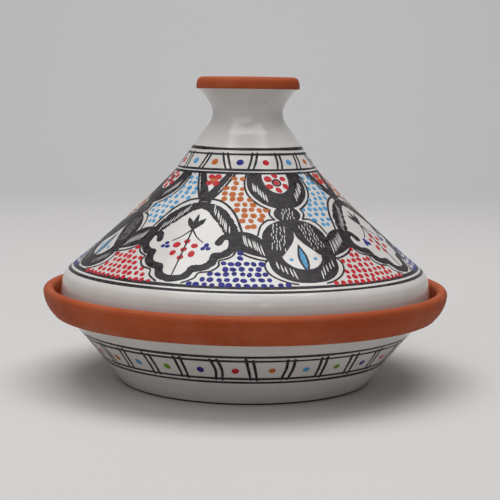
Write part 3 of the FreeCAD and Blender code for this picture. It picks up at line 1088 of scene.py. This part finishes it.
def tinted(tree, colour, mask, share, tint):
    """A colour with some of a tint where the mask is."""
    return blend_colour(tree, maths(tree, "MULTIPLY", mask, share), colour, (*tint, 1.0))


def stretched(tree, vector, x, y, z):
    node = tree.nodes.new("ShaderNodeMapping")
    node.inputs["Scale"].default_value = (x, y, z)
    tree.links.new(vector, node.inputs["Vector"])
    return node.outputs["Vector"]


# %% Shared effects: wheel rings, grain and unevenness
def wheel_rings_group():
    """Fine level rings: noise that varies quickly up the pot and slowly round it."""
    group, given, out = new_group("wheel_rings", [("Vector", "NodeSocketVector", None)],
                                  [("Mask", "NodeSocketFloat"), ("Height", "NodeSocketFloat")])
    wide = noise(group, stretched(group, given.outputs["Vector"], 6.0, 6.0, 330.0), 1.0, 3.0)
    fine = noise(group, stretched(group, given.outputs["Vector"], 12.0, 12.0, 1500.0), 1.0, 2.0)
    both = maths(group, "ADD", maths(group, "MULTIPLY", wide, 0.65), maths(group, "MULTIPLY", fine, 0.35))
    group.links.new(ramp(group, both, 0.36, 0.64), out.inputs["Mask"])
    group.links.new(both, out.inputs["Height"])
    return group


def grain_group():
    """Sand in fired clay: soft clouds, dark and light grains, and small pits."""
    group, given, out = new_group(
        "clay_grain", [("Vector", "NodeSocketVector", None)],
        [("Clouds", "NodeSocketFloat"), ("Grains", "NodeSocketFloat"), ("Pits", "NodeSocketFloat")])
    vector = given.outputs["Vector"]
    clouds = ramp(group, noise(group, vector, 22.0, 4.0), 0.34, 0.66)
    grains = ramp(group, noise(group, vector, 900.0, 3.0, 0.7), 0.35, 0.65)
    pits = specks(group, vector, 330.0, 0.10, 0.22)
    sparse = ramp(group, noise(group, vector, 140.0, 2.0), 0.56, 0.62)
    group.links.new(clouds, out.inputs["Clouds"])
    group.links.new(grains, out.inputs["Grains"])
    group.links.new(maths(group, "MULTIPLY", pits, sparse), out.inputs["Pits"])
    return group


def glaze_group():
    """Glaze that ran and pooled: soft unevenness, runs down the wall and rare pinholes."""
    group, given, out = new_group(
        "glaze_flow", [("Vector", "NodeSocketVector", None), ("Map", "NodeSocketVector", None)],
        [("Cloud", "NodeSocketFloat"), ("Runs", "NodeSocketFloat"), ("Pinholes", "NodeSocketFloat"),
         ("Height", "NodeSocketFloat")])
    vector = given.outputs["Vector"]
    cloud = ramp(group, noise(group, vector, 16.0, 5.0), 0.35, 0.65)
    runs = noise(group, stretched(group, given.outputs["Map"], 22.0, 9.0, 1.0), 1.0, 3.0, 0.5)
    holes = specks(group, vector, 75.0, 0.025, 0.06)
    rare = ramp(group, noise(group, vector, 31.0, 1.0), 0.60, 0.62)
    swell = noise(group, vector, 70.0, 2.0)
    group.links.new(cloud, out.inputs["Cloud"])
    group.links.new(ramp(group, runs, 0.44, 0.66), out.inputs["Runs"])
    group.links.new(maths(group, "MULTIPLY", holes, rare), out.inputs["Pinholes"])
    group.links.new(swell, out.inputs["Height"])
    return group


def brush_group():
    """Paint from a loaded brush: thin streaks along it and thicker puddles."""
    group, given, out = new_group("brush_wash", [("Vector", "NodeSocketVector", None)],
                                  [("Thin", "NodeSocketFloat"), ("Streaks", "NodeSocketFloat")])
    vector = given.outputs["Vector"]
    puddles = noise(group, vector, 260.0, 3.0)
    streaks = noise(group, stretched(group, vector, 300.0, 1500.0, 620.0), 1.0, 3.0, 0.65)
    group.links.new(ramp(group, puddles, 0.38, 0.68), out.inputs["Thin"])
    group.links.new(ramp(group, streaks, 0.50, 0.72), out.inputs["Streaks"])
    return group


RINGS, GRAIN = wheel_rings_group(), grain_group()
FLOW, BRUSH = glaze_group(), brush_group()
print("shared effects:", RINGS.name, GRAIN.name, FLOW.name, BRUSH.name)


# %% The materials themselves
def new_material(name):
    """A material with its Principled shader and its Object coordinates."""
    material = bpy.data.materials.new(name)
    material.use_nodes = True
    tree = material.node_tree
    shader = tree.nodes["Principled BSDF"]
    places = tree.nodes.new("ShaderNodeTexCoord")
    return material, tree, shader, places.outputs["Object"]


def use_group(tree, group, **vectors):
    node = tree.nodes.new("ShaderNodeGroup")
    node.node_tree = group
    for label, vector in vectors.items():
        tree.links.new(vector, node.inputs[label])
    return node.outputs


def finish(tree, shader, colour, roughness, specular, height, depth, strength):
    """Colour, roughness and relief of a material; depth is in metres."""
    tree.links.new(colour, shader.inputs["Base Color"])
    tree.links.new(roughness, shader.inputs["Roughness"])
    shader.inputs["Specular IOR Level"].default_value = specular
    bump = tree.nodes.new("ShaderNodeBump")
    bump.inputs["Distance"].default_value = depth
    bump.inputs["Strength"].default_value = strength
    tree.links.new(height, bump.inputs["Height"])
    tree.links.new(bump.outputs["Normal"], shader.inputs["Normal"])


def clay_material():
    material, tree, shader, place = new_material("fired_clay")
    grain = use_group(tree, GRAIN, Vector=place)
    rings = use_group(tree, RINGS, Vector=place)
    colour = blend_colour(tree, grain["Clouds"], (0.31, 0.050, 0.012, 1.0), (0.40, 0.076, 0.021, 1.0))
    colour = tinted(tree, colour, rings["Mask"], 0.30, (0.48, 0.120, 0.042))
    colour = tinted(tree, colour, grain["Grains"], 0.20, (0.21, 0.036, 0.010))
    colour = tinted(tree, colour, grain["Pits"], 0.7, (0.18, 0.035, 0.015))
    split = tree.nodes.new("ShaderNodeSeparateXYZ")
    tree.links.new(place, split.inputs[0])
    dust = ramp(tree, noise(tree, place, 34.0, 5.0, 0.6), 0.50, 0.72)
    low_down = ramp(tree, split.outputs["Z"], 0.060, 0.046)
    dust = maths(tree, "MULTIPLY", dust, ramp(tree, low_down, 0.0, 1.0, 0.06, 0.16))
    colour = blend_colour(tree, dust, colour, (0.60, 0.36, 0.27, 1.0))
    # Painted shadow: the clay turns near black in the lowest two millimetres of the foot, standing in for
    # the contact shadow where the pot meets the floor.
    painted_foot_shadow = ramp(tree, split.outputs["Z"], 0.0022, 0.0008, 0.0, 0.85)
    colour = blend_colour(tree, painted_foot_shadow, colour, (0.075, 0.026, 0.018, 1.0))
    roughness = ramp(tree, grain["Grains"], 0.0, 1.0, 0.56, 0.80)
    height = maths(tree, "ADD", maths(tree, "MULTIPLY", grain["Grains"], 0.35), rings["Height"])
    height = maths(tree, "SUBTRACT", height, grain["Pits"])
    finish(tree, shader, colour, roughness, 0.18, height, 0.00022, 0.8)
    return material


def map_of(tree):
    node = tree.nodes.new("ShaderNodeUVMap")
    node.uv_map = "turned"
    return node.outputs["UV"]


def glaze_material(name, light, dark, runs_amount):
    """White tin glaze over red clay: warm where it is thin, grey where it is deep."""
    material, tree, shader, place = new_material(name)
    flow = use_group(tree, FLOW, Vector=place, Map=map_of(tree))
    rings = use_group(tree, RINGS, Vector=place)
    colour = blend_colour(tree, flow["Cloud"], dark, light)
    colour = tinted(tree, colour, flow["Runs"], runs_amount, (0.56, 0.53, 0.49))
    colour = tinted(tree, colour, rings["Mask"], 0.10, (0.60, 0.56, 0.52))
    colour = blend_colour(tree, flow["Pinholes"], colour, (0.10, 0.06, 0.05, 1.0))
    roughness = ramp(tree, flow["Cloud"], 0.0, 1.0, 0.13, 0.20)
    height = maths(tree, "ADD", flow["Height"], maths(tree, "MULTIPLY", rings["Height"], 0.25))
    height = maths(tree, "SUBTRACT", height, flow["Pinholes"])
    finish(tree, shader, colour, roughness, 0.4, height, 0.00035, 0.5)
    return material


GLAZE_TONE = (0.7, 0.68, 0.65)


def paint_material(name, full, thin, show_through):
    """Pigment under glaze: deep where the brush was full, glaze-pale where it dragged."""
    material, tree, shader, place = new_material(name)
    brush = use_group(tree, BRUSH, Vector=place)
    colour = blend_colour(tree, brush["Thin"], full, thin)
    dragged = [0.6 * c + 0.3 * g for c, g in zip(thin, GLAZE_TONE)]
    colour = tinted(tree, colour, brush["Streaks"], show_through, dragged)
    roughness = ramp(tree, brush["Thin"], 0.0, 1.0, 0.26, 0.40)
    finish(tree, shader, colour, roughness, 0.09, brush["Thin"], 0.00004, 0.5)
    return material


CLAY = clay_material()
WHITE = glaze_material("tin_glaze", (0.66, 0.645, 0.625, 1.0), (0.60, 0.582, 0.56, 1.0), 0.24)
LINING = glaze_material("tin_lining", (0.72, 0.69, 0.64, 1.0), (0.64, 0.60, 0.55, 1.0), 0.5)
BLACK = paint_material("black_wash", (0.018, 0.015, 0.019, 1.0), (0.040, 0.034, 0.039, 1.0), 0.20)
PAINTS = {
    "red": paint_material("red_wash", (0.43, 0.012, 0.020, 1.0), (0.53, 0.030, 0.042, 1.0), 0.16),
    "cobalt": paint_material("cobalt_wash", (0.011, 0.011, 0.155, 1.0), (0.026, 0.028, 0.25, 1.0), 0.2),
    "ochre": paint_material("ochre_wash", (0.42, 0.098, 0.017, 1.0), (0.52, 0.155, 0.036, 1.0), 0.16),
    "sky": paint_material("sky_wash", (0.045, 0.235, 0.47, 1.0), (0.125, 0.355, 0.57, 1.0), 0.35),
    "green": paint_material("green_wash", (0.14, 0.26, 0.018, 1.0), (0.24, 0.36, 0.05, 1.0), 0.25),
}
print("materials:", len(bpy.data.materials))


# %% [markdown]
# Now each piece gets its material, takes the place of its CAD node, and rides on the dish or on
# the lid, so that the painting lifts with the lid it is on.


def dress(piece, material, body, *nodes):
    piece.data.materials.clear()
    piece.data.materials.append(material)
    if nodes:
        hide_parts(*nodes)
    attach(piece, body)


dress(dish_clay, CLAY, "dish", "dish_body")
dress(dish_glaze_outside, WHITE, "dish", "dish_outside_glaze")
dress(dish_glaze_inside, LINING, "dish", "dish_inside_glaze")
dress(lid_clay, CLAY, "lid", "lid_cone")
dress(lid_glaze_outside, WHITE, "lid", "lid_outside_glaze")
dress(lid_glaze_inside, LINING, "lid", "lid_inside_glaze")
dress(knob_clay, CLAY, "lid", "lid_knob")
dress(knob_glaze_coat, WHITE, "lid", "knob_glaze")
dress(neck_glaze_pool, WHITE, "lid")
dress(lid_films["black"], BLACK, "lid")
dress(lid_films["sky"], PAINTS["sky"], "lid")
dress(lid_bars["black"], BLACK, "lid")
dress(lid_rings, BLACK, "lid")
dress(dish_bars["black"], BLACK, "dish")
dress(dish_rings, BLACK, "dish")

# %% Setting the spots of each colour
PANEL_RADIUS = {"ochre": 2.1, "cobalt": 2.05, "sky": 1.8, "red": 2.0}
LID_BORDER_RADIUS = 2.5
DISH_BORDER_RADIUS = 2.75
FLOWERS = (("flower_red", flower_red, "red", 2.4), ("flower_blue", flower_blue, "cobalt", 1.75),
           ("flower_sky", flower_sky, "sky", 1.5), ("flower_ochre", flower_ochre, "ochre", 2.6))
PINHOLES = [tuple(knob_wall.plan(degrees, z))
            for degrees, z in ((27.0, 187.2), (-140.0, 189.0), (118.0, 186.4))]
for seed, (colour, places) in enumerate(spot_places.items()):
    radius = PANEL_RADIUS[colour]
    spots = set_spots("lid_panel_" + colour, lid_wall, places, radius, 50 + seed, PAINTS[colour])
    dress(spots, PAINTS[colour], "lid")
for name, places, colour, radius in FLOWERS:
    dress(set_spots("lid_" + name, lid_wall, places, radius, 70, PAINTS[colour]), PAINTS[colour], "lid")
for colour, places in lid_border.items():
    spots = set_spots("lid_border_" + colour, lid_wall, places, LID_BORDER_RADIUS, 80, PAINTS[colour])
    dress(spots, PAINTS[colour], "lid")
for colour, places in dish_border.items():
    spots = set_spots("dish_border_" + colour, bowl_wall, places, DISH_BORDER_RADIUS, 90, PAINTS[colour])
    dress(spots, PAINTS[colour], "dish")
dress(set_spots("knob_pinholes", knob_wall, PINHOLES, 0.45, 95, BLACK), BLACK, "lid")
bpy.data.objects.remove(touch)

# %% [markdown]
# The stage: a pale sweep that runs level under the pot and turns up far behind it, so there is
# no horizon. It carries a faint tone so that it isn't a dead flat colour, and it is painted lighter further
# back, as painted light on the far wall.

# %% Floor and backdrop
def make_sweep():
    """One sheet: level floor, a large quarter turn, then a wall."""
    bend_at, bend_r, top = 1.6, 1.4, 3.2
    line = [(-9.0, 0.0), (bend_at, 0.0)]
    for i in range(1, 25):
        turn = math.pi / 2 * i / 24
        line.append((bend_at + bend_r * math.sin(turn), bend_r * (1 - math.cos(turn))))
    line.append((bend_at + bend_r, top))
    points = [(x, y, z) for y, z in line for x in (-9.0, 9.0)]
    faces = [(2 * i, 2 * i + 1, 2 * i + 3, 2 * i + 2) for i in range(len(line) - 1)]
    return mesh_object("backdrop", points, faces)


backdrop = make_sweep()
stage_paint, stage_tree, stage_shader, stage_place = new_material("pale_stage")
tone = ramp(stage_tree, noise(stage_tree, stage_place, 1.5, 2.0), 0.3, 0.7)
stage_colour = blend_colour(stage_tree, tone, (0.575, 0.560, 0.550, 1.0), (0.600, 0.588, 0.578, 1.0))
split = stage_tree.nodes.new("ShaderNodeSeparateXYZ")
stage_tree.links.new(stage_place, split.inputs[0])
# Painted light: the sweep's colour grows lighter further back, standing in for light falling on the far
# wall.
painted_backdrop_light = ramp(stage_tree, split.outputs["Y"], 0.3, 2.6)
stage_colour = blend_colour(stage_tree, painted_backdrop_light, stage_colour, (0.88, 0.87, 0.875, 1.0))
stage_tree.links.new(stage_colour, stage_shader.inputs["Base Color"])
stage_shader.inputs["Roughness"].default_value = 0.9
backdrop.data.materials.append(stage_paint)


# %% [markdown]
# Light: one large soft lamp overhead and a little in front, a weak one from the left for the
# roundness of the wall, and an even grey sky. The camera looks a little down at the pot
# from the front, from as far away as a long lens needs.

# %% Lamps and sky
def soft_lamp(name, place, aim, size, power, colour=(1.0, 1.0, 1.0)):
    data = bpy.data.lights.new(name, "AREA")
    data.shape = "RECTANGLE"
    data.size, data.size_y = size
    data.energy = power
    data.color = colour
    lamp = new_object(name, data)
    lamp.location = place
    lamp.rotation_euler = (Vector(aim) - Vector(place)).to_track_quat("-Z", "Y").to_euler()
    return lamp


soft_lamp("overhead", (0.0, 0.05, 1.5), (0.0, 0.0, 0.1), (1.5, 1.1), 18.5)
soft_lamp("left_front", (-0.5, -1.2, 1.5), (0.0, 0.0, 0.15), (1.5, 1.1), 9.0)
soft_lamp("window", (0.35, -1.7, 0.75), (0.0, 0.0, 0.12), (0.10, 0.14), 0.5)
soft_lamp("wall_wash", (0.0, 0.9, 1.9), (0.0, 3.0, 0.7), (2.4, 0.8), 10.0)
sky = bpy.data.worlds.new("even_grey")
sky.use_nodes = True
sky.node_tree.nodes["Background"].inputs["Color"].default_value = (1.0, 1.0, 1.0, 1.0)
sky.node_tree.nodes["Background"].inputs["Strength"].default_value = 0.25
bpy.context.scene.world = sky


# %% Camera
CAMERA_BACK = 0.8761
CAMERA_UP = 0.19345
PITCH = math.radians(6.92)
ROLL = math.radians(0.76)
YAW = math.radians(0.18)


def make_camera():
    data = bpy.data.cameras.new("front")
    data.sensor_width = 36.0
    data.lens = 93.6
    camera = new_object("front", data)
    ahead = Vector((math.sin(YAW) * math.cos(PITCH), math.cos(YAW) * math.cos(PITCH), -math.sin(PITCH)))
    level = Vector((math.cos(YAW), -math.sin(YAW), 0.0))
    upright = level.cross(ahead)
    right = level * math.cos(ROLL) + upright * math.sin(ROLL)
    up = upright * math.cos(ROLL) - level * math.sin(ROLL)
    turn = Matrix((right, up, -ahead)).transposed()
    camera.matrix_world = Matrix.Translation((0.0, -CAMERA_BACK, CAMERA_UP)) @ turn.to_4x4()
    return camera


bpy.context.scene.camera = make_camera()
bpy.context.scene.view_settings.view_transform = "Standard"
